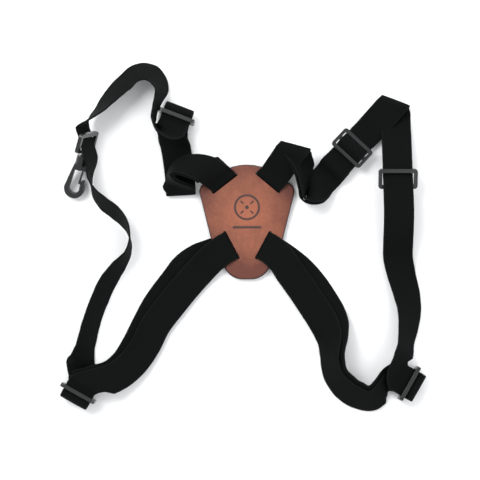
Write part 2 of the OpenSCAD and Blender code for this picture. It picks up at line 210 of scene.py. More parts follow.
@dataclass(frozen=True)
class Course:
    """Course of a strap: its middle points and the line across it at each of them."""

    points: np.ndarray
    lines: np.ndarray

    @staticmethod
    def laid(rows: Sequence[Row]) -> "Course":
        """Course from rows of x, y, z in millimetres, then heading and dip of the line across.

        Args:
            rows: Rows of five numbers.

        Returns:
            Course in metres: the line is (cos h cos d, sin h cos d, sin d).
        """
        r = np.array(rows, dtype=float)
        h, d = np.radians(r[:, 3]), np.radians(r[:, 4])
        lines = np.stack([np.cos(h) * np.cos(d), np.sin(h) * np.cos(d), np.sin(d)], axis=1)
        return Course(r[:, :3] * MM + HOME, lines)

    def __add__(self, other: "Course") -> "Course":
        """This course followed by another one."""
        return Course(np.concatenate([self.points, other.points]), np.concatenate([self.lines, other.lines]))

    def part(self, first: int) -> "Course":
        """Stations from the given one on."""
        return Course(self.points[first:], self.lines[first:])

    def turned(self) -> "Course":
        """The same course run the other way."""
        return Course(self.points[::-1], self.lines[::-1])

    def slopes(self) -> np.ndarray:
        """Direction of travel at each station: the mean of the two spans' directions, each
        weighted by the other span's length; the first and last take their only span's.

        Returns:
            Array of the same shape as the points.
        """
        step = np.diff(self.points, axis=0)
        span = np.linalg.norm(step, axis=1, keepdims=True)
        way = step / span
        inner = (span[1:] * way[:-1] + span[:-1] * way[1:]) / (span[1:] + span[:-1])
        return np.concatenate([way[:1], inner, way[-1:]])

    def beside(self, gap: float) -> "Course":
        """Course moved off the webbing's face by a gap, along line cross travel.

        Args:
            gap: Distance in metres.

        Returns:
            The moved course.
        """
        return Course(self.points + unit(np.cross(self.lines, self.slopes())) * gap, self.lines)

    def fine(self, step: float = 1.1 * MM) -> "Course":
        """Course with close points: a cubic through the stations, p(2u^3 - 3u^2 + 1)
        + hm(u^3 - 2u^2 + u) + q(3u^2 - 2u^3) + hn(u^3 - u^2), with the lines blended evenly.

        Args:
            step: Largest distance between two points.

        Returns:
            The course with points about one step apart.
        """
        p, m = self.points, self.slopes()
        h = np.linalg.norm(np.diff(p, axis=0), axis=1)
        count = np.maximum(2, np.ceil(h / step)).astype(int)
        s = np.repeat(np.arange(len(h)), count)
        u = ((np.arange(len(s)) - np.repeat(np.cumsum(count) - count, count)) / count[s])[:, None]
        hs = h[s][:, None]
        mid = (
            (2 * u**3 - 3 * u**2 + 1) * p[s]
            + (u**3 - 2 * u**2 + u) * hs * m[s]
            + (3 * u**2 - 2 * u**3) * p[s + 1]
            + (u**3 - u**2) * hs * m[s + 1]
        )
        lines = unit(self.lines[s] * (1 - u) + self.lines[s + 1] * u)
        return Course(np.concatenate([mid, p[-1:]]), np.concatenate([lines, unit(self.lines[-1:])]))

    def lengths(self) -> np.ndarray:
        """Distance run from the first point to each point."""
        return np.concatenate([[0], np.cumsum(np.linalg.norm(np.diff(self.points, axis=0), axis=1))])

    def trimmed(self, start: float, end: float) -> "Course":
        """Course without a length at its start and at its end.

        Args:
            start: Length cut from the start.
            end: Length cut from the end.

        Returns:
            The shorter course.
        """
        run = self.lengths()
        keep = (run >= start) & (run <= run[-1] - end)
        return Course(self.points[keep], self.lines[keep])

    def stations_at(self, distances: Sequence[float]) -> "Course":
        """Points of the course at given distances from its start.

        Args:
            distances: Distances in metres.

        Returns:
            Course of just those points.
        """
        run = self.lengths()
        pick = [int(np.argmin(np.abs(run - d))) for d in distances]
        return Course(self.points[pick], self.lines[pick])


@dataclass(frozen=True)
class Weave:
    """Cross-section of the elastic webbing, and how unevenly it lies."""

    half: float = WEB_HALF
    thick: float = WEB_THICK
    spread: float = 1.08
    crown: float = 0.14
    ruffle: float = 0.22 * MM
    inset: float = 1.0

    def section(self) -> tuple[np.ndarray, np.ndarray]:
        """Closed outline across the webbing: two crowned faces joined by round edges.

        Returns:
            Share of the half width and share of the half thickness at each corner, where a
            face's share of thickness is 1 - crown x^2 and an edge is half an ellipse.
        """
        edge = self.thick / 2 / self.half
        x = np.linspace(-1 + edge, 1 - edge, 17)
        face = 1 - self.crown * x**2
        turn = np.radians([60, 30, 0, -30, -60])
        side_x, side_t = 1 - edge + edge * np.cos(turn), (1 - self.crown) * np.sin(turn)
        across = np.concatenate([x, side_x, x[::-1], -side_x])
        height = np.concatenate([face, side_t, -face, -side_t])
        return across, height

    def sweep(self, name: str, course: Course, seed: int) -> Thing:
        """Webbing along a course: middle + across * half width * line + (height * half
        thickness + ruffle) * face direction, where face direction is line cross travel, a
        slanting crease widens the webbing by up to the spread, and the ruffle is a sum of
        three sines of the length that grows with the fourth power of the share across.

        Args:
            name: Name of the new object.
            course: Course with close points.
            seed: Seed of the ruffle's waves.

        Returns:
            The webbing, with x across and y along as its pattern coordinates.
        """
        rng = np.random.default_rng(seed)
        p, r = course.points, course.lines
        t = unit(np.gradient(p, axis=0))
        c = np.cross(r, t)
        size = np.linalg.norm(c, axis=1, keepdims=True)
        up = c / size
        run = course.lengths()
        half = self.half * self.inset * np.minimum(1 / size, self.spread)
        across, height = self.section()
        fade = smooth(np.minimum(run, run[-1] - run), 0.0, 12 * MM)[:, None]
        wave = np.zeros((len(p), len(across)))
        for period in (11.0, 17.0, 31.0):
            left, right = rng.uniform(0, 2 * np.pi, 2)
            angle = (2 * np.pi * run / (period * MM))[:, None]
            wave += np.where(across < 0, np.sin(angle + left), np.sin(angle + right)) / 3
        lift = self.ruffle * fade * wave * across**4
        points = (
            p[:, None]
            + (half * across[None, :])[..., None] * r[:, None]
            + (self.thick / 2 * self.inset * height[None, :] + lift)[..., None] * up[:, None]
        )
        wrap = np.append(across, across[0])
        u, v = np.meshgrid(wrap * self.half, run, indexing="xy")
        return Sheet(points, np.stack([u, v], axis=-1)).build(name)


@dataclass(frozen=True)
class HookPose:
    """Place of a hook's webbing loop, its heading, dip and the loop's roll, in mm and degrees."""

    place: Triple
    heading: float
    dip: float
    roll: float
    tip: float = 33.0

    def axes(self) -> tuple[np.ndarray, np.ndarray, np.ndarray, np.ndarray]:
        """Directions along the hook, to its side, out of its flat face, and across the webbing.

        Returns:
            Four unit vectors; the last is side * cos(roll) - rise * sin(roll).
        """
        h, d, r = (math.radians(a) for a in (self.heading, self.dip, self.roll))
        hook = np.array([math.cos(h) * math.cos(d), math.sin(h) * math.cos(d), -math.sin(d)])
        side = np.array([-math.sin(h), math.cos(h), 0.0])
        rise = np.cross(hook, side)
        return hook, side, rise, side * math.cos(r) - rise * math.sin(r)

    def centre(self) -> np.ndarray:
        """Middle of the webbing loop, in metres."""
        return np.array(self.place) * MM + HOME

    def through(self, start: float, end: float) -> Course:
        """Straight run of the webbing through the loop, tipped off the hook's direction.

        Args:
            start: Where the run starts, in mm from the loop's middle.
            end: Where it ends.

        Returns:
            Course of four stations along hook * cos(tip) + face * sin(tip).
        """
        hook, side, rise, across = self.axes()
        r, t = math.radians(self.roll), math.radians(self.tip)
        face = side * math.sin(r) + rise * math.cos(r)
        run = hook * math.cos(t) + face * math.sin(t)
        d = np.array([start, start + 6, end - 6, end])[:, None] * MM
        return Course(self.centre() + run * d, np.repeat(across[None], 4, axis=0))


class Side(Enum):
    """Which side of the harness, as laid out."""

    LEFT = "left"
    RIGHT = "right"


class Corner(Enum):
    """Place of a tri-glide."""

    UPPER_LEFT = "upper_left"
    LOWER_LEFT = "lower_left"
    UPPER_RIGHT = "upper_right"
    LOWER_RIGHT = "lower_right"


@dataclass(frozen=True)
class GlidePose:
    """Place of a tri-glide in mm, heading of its bars and tilt of its plane in degrees."""

    place: Triple
    heading: float
    tilt: float

    def matrix(self) -> np.ndarray:
        """Columns: along the bars, across them in the tri-glide's plane, and out of its plane.

        Returns:
            Turn about Z by the heading, after a turn about X by the tilt.
        """
        a, b = math.radians(self.heading), math.radians(self.tilt)
        turn = np.array([[math.cos(a), -math.sin(a), 0], [math.sin(a), math.cos(a), 0], [0, 0, 1]])
        tip = np.array([[1, 0, 0], [0, math.cos(b), -math.sin(b)], [0, math.sin(b), math.cos(b)]])
        return turn @ tip

    def to_world(self, local: np.ndarray) -> np.ndarray:
        """Local points in mm brought to metres in the harness's frame."""
        return local @ self.matrix().T * MM + np.array(self.place) * MM + HOME

    def bent(self, line: Sequence[tuple[float, float]], like: np.ndarray) -> Course:
        """Course in the plane across the bars.

        Args:
            line: Pairs of millimetres: across the bars, and out of the tri-glide's plane.
            like: Direction that the line across the webbing agrees with.

        Returns:
            Course of those stations, all with the bars' direction as their line.
        """
        q = np.array(line, dtype=float)
        bars = self.matrix()[:, 0]
        bars = bars * (1.0 if bars @ like >= 0 else -1.0)
        points = self.to_world(np.column_stack([np.zeros(len(q)), q]))
        return Course(points, np.repeat(bars[None], len(q), axis=0))


GLIDES: dict[Corner, GlidePose] = {
    Corner.UPPER_LEFT: GlidePose((-54, 102, 10.5), -21, -90),
    Corner.LOWER_LEFT: GlidePose((-136, -132, 10), -29, 90),
    Corner.UPPER_RIGHT: GlidePose((95, 75, 10), -43, 0),
    Corner.LOWER_RIGHT: GlidePose((142, -124, 10), 60, 90),
}
HOOKS: dict[Side, HookPose] = {
    Side.LEFT: HookPose((-129.5, 79, 18), 253, 18, 75),
    Side.RIGHT: HookPose((133, 48, 18), 270, 17, 0),
}

# Stations of each strap: x, y, z in mm, then heading and dip of the line across, in degrees
LEFT_FRONT_START: list[Row] = [
    (-56.5, 95.5, 17.4, 159, 0), (-59.3, 89.4, 19.2, 154, -8), (-65.4, 87, 20, 138, -42),
    (-71.2, 91.5, 19, 105, -70), (-73.2, 99, 17.5, 30, -84), (-72.2, 107.5, 16.2, 8, -84),
    (-69, 116, 15.5, 14, -76), (-66.6, 124, 14.5, 16, -66), (-69.4, 132.5, 13.5, 34, -56),
    (-74.6, 138.4, 12.5, 66, -48), (-81.5, 140.6, 12, 90, -46), (-89.4, 138.6, 11.8, 108, -45),
    (-97.4, 131.6, 12, 124, -46), (-105.9, 123.6, 13, 133, -50), (-113.2, 115, 14.5, 138, -57),
    (-119.4, 107, 16.5, 144, -66), (-127, 99.5, 18.6, 120, -76),
]
LEFT_FRONT_END: list[Row] = [
    (-127, 47, 14.8, 198, -92), (-123, 36, 13.8, 215, -76), (-116, 28, 13.2, 228, -67),
    (-106, 20, 13.2, 231, -66), (-99, 13, 13.4, 222, -72), (-94, 3, 13.6, 205, -83),
    (-93, -5, 13.6, 185, -90), (-95, -15, 13.6, 165, -98), (-102, -25, 13, 145, -112),
    (-111, -38, 12.5, 147, -120), (-118, -53, 12.3, 157, -121), (-123, -66, 12.3, 162, -120),
    (-127, -80, 12, 165, -122), (-130.4, -94, 11.7, 164, -124), (-132.8, -104, 9.4, 160, -138),
    (-134.8, -112.5, 3.3, 153, -177), (-134.1, -119.5, 3.1, 151, -180),
    (-132.6, -125.9, 3.1, 151, -180),
]
LEFT_UPPER_OUT: list[Row] = [
    (-56.5, 95.5, 3.6, 159, 0), (-57.4, 86, 1.6, 172, 0), (-55, 76, 0.9, 182, 0),
    (-52.5, 60, 0.9, 184, 0), (-51, 46, 0.9, 183, 0), (-50.6, 39.5, 0.9, 183, 0),
    (-50.4, 35.8, 4.6, 183, 0), (-51, 39, 8.4, 181, -6), (-54.5, 42.5, 10.5, 175, -32),
    (-59, 47, 14, 158, -68), (-60.5, 52, 15.5, 138, -80), (-56.5, 57, 17, 112, -66),
    (-48.5, 59.5, 19, 92, -46), (-39, 59, 20.5, 76, -30), (-29, 56, 19.5, 60, -15),
]
LEFT_UPPER_OVER: list[Row] = [
    (-20.5, 51, 13.5, 44, 0), (-16.2, 48.2, 8.6, 38, 0),
]
LEFT_UPPER_SLOT: list[Row] = [
    (-13.6, 45.7, 6.6, 38, 0), (-13, 45, 3.7, 38, 0), (-13.8, 45.9, 1.1, 38, 0),
]
LEFT_UPPER_UNDER: list[Row] = [
    (-17, 48.8, 1.1, 38, 0), (-21.8, 54.2, 1.3, 40, 0), (-26.5, 57.5, 7, 48, -4),
]
LEFT_UPPER_END: list[Row] = [
    (-57, 84.5, 7.2, 168, 0), (-56.9, 94.5, 7.5, 159, 0),
]
LEFT_LOWER_OUT: list[Row] = [
    (-132.6, -125.9, 16.9, -29, 0), (-124.4, -122.8, 17.2, -37, 0), (-113.4, -121.8, 14.5, -52, 0),
    (-104, -118, 11, -60, 0), (-91, -107.5, 7.2, -47, 0), (-80, -92, 5, -33, 0),
    (-71.5, -75, 4.6, -30, 0), (-58, -57, 4.4, -38, 0), (-36, -31, 4.4, -42, 0),
    (-22, -17, 7.2, -52, 0), (-13, -10.5, 8, -62, 0), (-8, -7.7, 6.7, -62, 0),
    (-7.2, -7.1, 3.7, -62, 0), (-8, -7.7, 1.1, -62, 0), (-13, -10.3, 0.9, -62, 0),
    (-24, -14, 0.9, -66, 0), (-36, -18.5, 0.9, -60, 0), (-46, -25.5, 0.9, -48, 0),
    (-55, -37, 0.9, -37, 0), (-71, -59, 0.9, -33, 0), (-80, -76, 0.9, -29, 0),
    (-88.5, -93, 1.2, -31, 0), (-98, -108, 4.2, -42, 0), (-109, -117, 8.6, -56, 0),
    (-119, -119.8, 12.2, -48, 0), (-126, -121.2, 13, -33, 0), (-132.1, -125, 13, -29, 0),
]
RIGHT_UPPER_SLOT: list[Row] = [
    (24.2, 47.2, 1.1, -40, 0), (23.2, 46, 3.7, -40, 0), (23.9, 46.8, 6.9, -40, 0),
]
RIGHT_UPPER_OVER: list[Row] = [
    (27.5, 50.3, 8.8, -39, 0), (33, 57.5, 14, -34, 0),
]
RIGHT_UPPER_OUT: list[Row] = [
    (39.5, 66.5, 20, -25, 0), (44.5, 73, 22.4, -18, 0), (46.8, 76, 20.6, -15, 0),
    (46.9, 74.4, 16.8, -14, 0), (48.5, 68, 14.6, -11, -15), (51, 59, 13.6, -5, -45),
    (52, 48, 13.4, -2, -66), (51.6, 38, 13.6, 3, -78), (52.4, 31, 13.8, 28, -84),
    (56.5, 29.2, 13.6, 75, -80), (60.6, 32.8, 12, 112, -56), (64.3, 38.6, 7.8, 125, -28),
    (69, 46, 3.2, 133, -7), (75, 52.5, 1.2, 136, 0),
]
RIGHT_UPPER_UNDER: list[Row] = [
    (35.5, 60.5, 8, -34, 0), (31.4, 55.8, 1.4, -38, 0), (27, 50.2, 1.1, -40, 0),
]
RIGHT_UPPER_LOW_END: list[Row] = [
    (86.8, 66.2, 1, 137, 0),
]
RIGHT_UPPER_TOP_END: list[Row] = [
    (84, 63.3, 8.9, 137, 0), (79, 58, 8.8, 137, 0),
]
RIGHT_FRONT_START: list[Row] = [
    (101.8, 82.3, 4.9, -43, 0), (108, 88.5, 4.2, -42, 0), (117, 98.5, 5.5, -38, 0),
    (126, 108.5, 7, -28, 0), (131, 114.2, 6.8, -22, 0), (133, 116.6, 4, -21, 0),
    (132.6, 114.2, 1.2, -21, 0), (133, 106, 1.2, -12, 0), (133, 97, 3, -3, 0), (133, 87, 6.6, 0, 0),
]
RIGHT_FRONT_END: list[Row] = [
    (133, 20, 24.8, 0, 0), (133, 8, 22.5, 0, 0), (133, -6, 15.5, 0, 0), (133.5, -18, 8.5, 0, -4),
    (136.5, -32, 5, 6, -14), (141, -50, 6.4, 4, -22), (142.7, -64, 8.6, -4, -35),
    (141.2, -80, 10.6, -8, -46), (139.2, -91, 12, -6, -54), (137, -100.5, 14.6, 4, -48),
    (133.6, -108.2, 19.7, 24, -27), (131.8, -114.6, 19.3, 48, -9), (133.6, -119.2, 17.3, 60, 0),
    (135.9, -120.5, 17, 60, 0),
]
RIGHT_LOWER_OUT: list[Row] = [
    (135.9, -120.5, 3, 60, 0), (130.5, -118.6, 2.7, 64, 3), (125, -122.4, 4.8, 85, 19),
    (119, -132.2, 9.6, 105, 40), (110, -138.5, 10.8, 107, 46), (98, -136, 10.6, 72, 45),
    (86, -128, 10.8, 50, 46), (78, -117, 11.6, 22, 53), (75, -103, 12.2, 0, 57), (75, -91, 10.8, 2, 46),
    (74, -82, 7.8, 12, 26), (70, -72, 5.4, 26, 8), (62, -59, 4.4, 32, 0), (52, -44, 4.4, 36, 0),
    (42, -30, 5.2, 44, 0), (33, -17.5, 7.4, 54, 0), (25, -10.5, 8, 62, 0), (20, -7.6, 6.7, 62, 0),
    (19.2, -7.1, 3.7, 62, 0), (20, -7.6, 1.1, 62, 0), (25, -10.3, 0.9, 62, 0), (38, -18.5, 0.9, 56, 0),
    (52, -30, 0.9, 44, 0), (61.5, -41, 0.9, 37, 0), (70, -53.5, 0.9, 33, 0), (76.5, -65, 1.8, 28, 4),
    (80, -75, 5.4, 18, 20), (80.5, -86, 10.4, 6, 40), (79.6, -98, 13.6, 2, 54),
    (81.8, -115, 13.4, 22, 53), (89, -124.6, 12.2, 50, 46), (99.4, -131.6, 11.8, 72, 45),
    (108.8, -134.6, 12.2, 100, 44), (121, -123.2, 10.2, 92, 26), (128.5, -118.3, 7, 66, 2),
    (135.1, -120, 7, 60, 0),
]


# ---------------------------------------------------------------- finishes


class Shading:
    """Node tree of one material, with short calls for adding and joining nodes."""

    def __init__(self, name: str) -> None:
        """Starts a material with one glossy shader.

        Args:
            name: Name of the material.
        """
        self.material = bpy.data.materials.new(name)
        self.material.use_nodes = True
        self.tree = self.material.node_tree
        self.shader = self.tree.nodes["Principled BSDF"]

    def add(
        self, kind: str, inputs: dict[int | str, object] | None = None, **settings: object
    ) -> Node:
        """Adds a node.

        Args:
            kind: Node type without its ShaderNode prefix.
            inputs: Socket name or number to a plain value or to a socket to join.
            settings: Properties of the node.

        Returns:
            The new node.
        """
        node = self.tree.nodes.new("ShaderNode" + kind)
        for key, value in settings.items():
            setattr(node, key, value)
        for key, value in (inputs or {}).items():
            if isinstance(value, Socket):
                self.tree.links.new(value, node.inputs[key])
            else:
                node.inputs[key].default_value = value
        return node

    def math(self, operation: str, a: object, b: object = 0.0) -> Socket:
        """Output of one arithmetic step on two sockets or numbers."""
        return self.add("Math", {0: a, 1: b}, operation=operation).outputs[0]

    def ramp(self, value: Socket, stops: Sequence[tuple[float, Sequence[float]]]) -> Socket:
        """Colour ramp of a value.

        Args:
            value: Socket that drives the ramp.
            stops: Positions with their red, green and blue.

        Returns:
            The colour socket.
        """
        node = self.add("ValToRGB", {0: value})
        bar = node.color_ramp.elements
        while len(bar) < len(stops):
            bar.new(0.5)
        for element, (position, colour) in zip(bar, stops):
            element.position = position
            element.color = (*colour, 1.0)
        return node.outputs[0]

    def noise(
        self, scale: float, detail: float = 3.0, vector: object = None, rough: float = 0.5
    ) -> Socket:
        """Value of a noise pattern on Object coordinates, or on the vector given."""
        where = vector if vector is not None else self.add("TexCoord").outputs["Object"]
        node = self.add("TexNoise", {"Vector": where, "Scale": scale, "Detail": detail, "Roughness": rough})
        return node.outputs[0]

    def bump(
        self, height: Socket, strength: float, depth: float, under: Socket | None = None
    ) -> Socket:
        """Surface direction bent by a height, on top of another bend if one is given."""
        inputs: dict[int | str, object] = {"Height": height, "Strength": strength, "Distance": depth}
        if under is not None:
            inputs["Normal"] = under
        return self.add("Bump", inputs).outputs[0]

    def set(self, **values: object) -> None:
        """Sets the shader's sockets, with underscores for the spaces of their names."""
        for key, value in values.items():
            socket = self.shader.inputs[key.replace("_", " ")]
            if isinstance(value, Socket):
                self.tree.links.new(value, socket)
            else:
                socket.default_value = value


class Tone(Enum):
    """Base tones, as linear red, green and blue."""

    # WEB_DEEP and WEB_LIT end the webbing's ramp: painted shade in the weave's hollows and painted light on
    # its ridges, mixed with the webbing's own uneven tone.
    WEB_DEEP = (0.0016, 0.0019, 0.0018)
    WEB_LIT = (0.0044, 0.0050, 0.0048)
    WEB_EDGE = (0.0088, 0.0098, 0.0094)
    THREAD = (0.0085, 0.0090, 0.0090)
    HIDE_DARK = (0.105, 0.026, 0.015)
    HIDE_MID = (0.220, 0.068, 0.035)
    HIDE_LIGHT = (0.330, 0.097, 0.050)
    RIM = (0.030, 0.012, 0.009)
    INK = (0.034, 0.014, 0.011)
    PLASTIC = (0.0060, 0.0062, 0.0065)
    PLASTIC_WORN = (0.0230, 0.0235, 0.0240)


@dataclass(frozen=True)
class WebbingFinish:
    """Ribbed elastic webbing: crosswise picks over lengthwise cords, with paler selvedges."""

    cord: float = 1.25 * MM
    pick: float = 0.85 * MM

    def material(self) -> Material:
        """Weave height is a cord sine times half plus a pick sine that shifts by half a wave
        from one cord to the next; colour follows the height, which paints shade into the weave's hollows and
        light onto its ridges, and also follows the selvedge and a slow noise.

        Returns:
            The finished material.
        """
        s = Shading("Elastic_webbing")
        uv = s.add("UVMap", uv_map="UVMap").outputs[0]
        split = s.add("SeparateXYZ", {0: uv})
        u, v = split.outputs[0], split.outputs[1]
        cords = s.math("SINE", s.math("MULTIPLY", u, 2 * math.pi / self.cord))
        shift = s.math("MULTIPLY", s.math("FLOOR", s.math("MULTIPLY", u, 2 / self.cord)), math.pi)
        picks = s.math("SINE", s.math("ADD", s.math("MULTIPLY", v, 2 * math.pi / self.pick), shift))
        relief = s.math("ADD", s.math("MULTIPLY", cords, 0.35), s.math("MULTIPLY", picks, 0.65))
        height = s.math("ADD", s.math("MULTIPLY", relief, 0.5), 0.5)
        fuzz = s.noise(5200.0, 4.0, rough=0.7)
        slow = s.noise(38.0, 3.0)
        edge = s.add(
            "MapRange",
            {0: s.math("ABSOLUTE", u), 1: WEB_HALF - 1.6 * MM, 2: WEB_HALF - 0.4 * MM},
            interpolation_type="SMOOTHSTEP",
        ).outputs[0]
        # Painted shade and light: the weave height darkens the hollows and lightens the ridges; the two
        # noises are the webbing's own uneven tone.
        blend = s.math("ADD", s.math("MULTIPLY", height, 0.45), s.math("MULTIPLY", slow, 0.35))
        blend = s.math("ADD", blend, s.math("MULTIPLY", fuzz, 0.30))
        base = s.ramp(blend, [(0.25, Tone.WEB_DEEP.value), (0.85, Tone.WEB_LIT.value)])
        share = s.math("MULTIPLY", edge, s.math("ADD", s.math("MULTIPLY", slow, 0.5), 0.25))
        colour = s.add("Mix", {}, data_type="RGBA")
        s.tree.links.new(share, colour.inputs["Factor"])
        s.tree.links.new(base, colour.inputs[6])
        colour.inputs[7].default_value = (*Tone.WEB_EDGE.value, 1.0)
        rough = s.add("MapRange", {0: fuzz, 1: 0.2, 2: 0.8, 3: 0.78, 4: 0.95}).outputs[0]
        weave = s.bump(height, 0.75, 0.16 * MM)
        s.set(Base_Color=colour.outputs[2], Roughness=rough, Normal=s.bump(fuzz, 0.35, 0.08 * MM, weave))
        s.set(Specular_IOR_Level=0.07, Sheen_Weight=0.012, Sheen_Roughness=0.45)
        s.shader.inputs["Sheen Tint"].default_value = (0.75, 0.8, 0.8, 1.0)
        return s.material


@dataclass(frozen=True)
class LeatherFinish:
    """Waxed leather: fine cell grain and a mottled pull-up tone, with painted shade making it darker and
    duller to the rim and leaving a painted highlight in its middle.
    """

    # Centre and reach of the painted shade that darkens the patch towards its rim.
    middle: tuple[float, float] = (2.7 * MM, 18.0 * MM)
    reach: tuple[float, float] = (0.052, 0.060)

    def material(self) -> Material:
        """Tone is a mottle of two noises darkened with the distance from the patch's middle; that darkening
        is painted shade, which leaves a painted highlight in the middle.

        Returns:
            The finished material.
        """
        s = Shading("Waxed_leather")
        place = s.add("TexCoord").outputs["Object"]
        (x, y), (wide, high) = self.middle, self.reach
        centred = s.add(
            "Mapping", {0: place, "Location": (-x / wide, -y / high, 0.0), "Scale": (1 / wide, 1 / high, 0.0)}
        ).outputs[0]
        away = s.add("VectorMath", {0: centred}, operation="LENGTH").outputs["Value"]
        coarse, fine = s.noise(55.0, 4.0), s.noise(420.0, 5.0, rough=0.65)
        mottle = s.math("ADD", s.math("MULTIPLY", coarse, 0.6), s.math("MULTIPLY", fine, 0.4))
        # Painted shade: darker with the distance from the patch's middle, so the middle stands as a painted
        # highlight.
        shade = s.math("MULTIPLY", s.math("POWER", away, 2.2), 0.95)
        tone = s.math("SUBTRACT", s.math("MULTIPLY", mottle, 1.05), shade)
        colour = s.ramp(
            tone, [(0.02, Tone.HIDE_DARK.value), (0.42, Tone.HIDE_MID.value), (0.72, Tone.HIDE_LIGHT.value)]
        )
        cells = s.add("TexVoronoi", {"Vector": place, "Scale": 1150.0}, feature="DISTANCE_TO_EDGE")
        grain = s.add("MapRange", {0: cells.outputs["Distance"], 1: 0.0, 2: 0.35}).outputs[0]
        crease = s.noise(300.0, 6.0, rough=0.75)
        rough = s.add("MapRange", {0: mottle, 1: 0.3, 2: 0.7, 3: 0.52, 4: 0.36}).outputs[0]
        normal = s.bump(crease, 0.30, 0.12 * MM, s.bump(grain, 0.28, 0.05 * MM))
        s.set(Base_Color=colour, Roughness=rough, Normal=normal)
        s.set(Specular_IOR_Level=0.32, Coat_Weight=0.06, Coat_Roughness=0.30)
        return s.material


@dataclass(frozen=True)
class RimFinish:
    """Dark board behind the leather, with fibrous edges."""

    def material(self) -> Material:
        """Two noises, the finer stretched along the board, colour and roughen it.

        Returns:
            The finished material.
        """
        s = Shading("Edge_board")
        place = s.add("TexCoord").outputs["Object"]
        drawn = s.add("Mapping", {0: place, "Scale": (700.0, 700.0, 4200.0)}).outputs[0]
        fibres = s.noise(1.0, 5.0, drawn, 0.7)
        colour = s.ramp(fibres, [(0.3, (0.012, 0.006, 0.005)), (0.75, Tone.RIM.value)])
        rough = s.add("MapRange", {0: s.noise(900.0), 1: 0.3, 2: 0.7, 3: 0.6, 4: 0.85}).outputs[0]
        normal = s.bump(fibres, 0.5, 0.1 * MM)
        s.set(Base_Color=colour, Roughness=rough, Normal=normal, Specular_IOR_Level=0.4)
        return s.material


@dataclass(frozen=True)
class InkFinish:
    """Printed mark: dark ink, worn thin where the leather's grain stands up."""

    def material(self) -> Material:
        """The ink lets the leather's tone through where a fine noise is high.

        Returns:
            The finished material.
        """
        s = Shading("Printed_ink")
        worn = s.noise(1500.0, 5.0, rough=0.7)
        colour = s.ramp(worn, [(0.56, Tone.INK.value), (0.80, Tone.HIDE_DARK.value)])
        rough = s.add("MapRange", {0: worn, 1: 0.3, 2: 0.7, 3: 0.38, 4: 0.6}).outputs[0]
        normal = s.bump(worn, 0.25, 0.05 * MM)
        s.set(Base_Color=colour, Roughness=rough, Normal=normal, Specular_IOR_Level=0.45)
        return s.material


@dataclass(frozen=True)
class PlasticFinish:
    """Moulded acetal: deep black and glossy, with flow marks and fine handling scratches."""

    def material(self) -> Material:
        """Slow flow marks bend the surface, and a stretched noise gives pale fine scratches.

        Returns:
            The finished material.
        """
        s = Shading("Moulded_plastic")
        place = s.add("TexCoord").outputs["Object"]
        drawn = s.add(
            "Mapping", {0: place, "Rotation": (0.4, 0.9, 0.6), "Scale": (5200.0, 260.0, 900.0)}
        ).outputs[0]
        scratch = s.noise(1.0, 6.0, drawn, 0.8)
        flow = s.noise(210.0, 3.0)
        fine = s.noise(4200.0, 2.0)
        colour = s.ramp(scratch, [(0.55, Tone.PLASTIC.value), (0.82, Tone.PLASTIC_WORN.value)])
        rough = s.add("MapRange", {0: scratch, 1: 0.45, 2: 0.75, 3: 0.24, 4: 0.42}).outputs[0]
        normal = s.bump(fine, 0.12, 0.03 * MM, s.bump(flow, 0.18, 0.25 * MM))
        s.set(Base_Color=colour, Roughness=rough, Normal=normal, Specular_IOR_Level=0.55)
        return s.material


@dataclass(frozen=True)
class ThreadFinish:
    """Bonded sewing thread: two plies twisted together."""

    twist: float = 0.55 * MM

    def material(self) -> Material:
        """A sine of the length plus the way round gives the slanting plies; the colour darkens into the
        grooves between them as painted shade.

        Returns:
            The finished material.
        """
        s = Shading("Sewing_thread")
        split = s.add("SeparateXYZ", {0: s.add("UVMap", uv_map="UVMap").outputs[0]})
        slant = s.math("ADD", split.outputs[1], s.math("MULTIPLY", split.outputs[0], 0.8))
        ply = s.math("SINE", s.math("MULTIPLY", slant, 2 * math.pi / self.twist))
        height = s.math("ADD", s.math("MULTIPLY", ply, 0.5), 0.5)
        # Painted shade: the grooves between the plies are coloured darker than their crowns.
        colour = s.ramp(height, [(0.1, (0.004, 0.0042, 0.0042)), (0.9, Tone.THREAD.value)])
        rough = s.add("MapRange", {0: s.noise(3000.0), 1: 0.3, 2: 0.7, 3: 0.5, 4: 0.7}).outputs[0]
        normal = s.bump(height, 0.6, 0.08 * MM)
        s.set(Base_Color=colour, Roughness=rough, Normal=normal, Specular_IOR_Level=0.35)
        return s.material


def dress(obj: Thing, material: Material) -> None:
    """Gives an object one material over its whole surface.

    Args:
        obj: Piece or CAD node.
        material: The finish.
    """
    if not obj.material_slots:
        obj.data.materials.append(material)
    for slot in obj.material_slots:
        slot.material = material


# ---------------------------------------------------------------- sub-assemblies


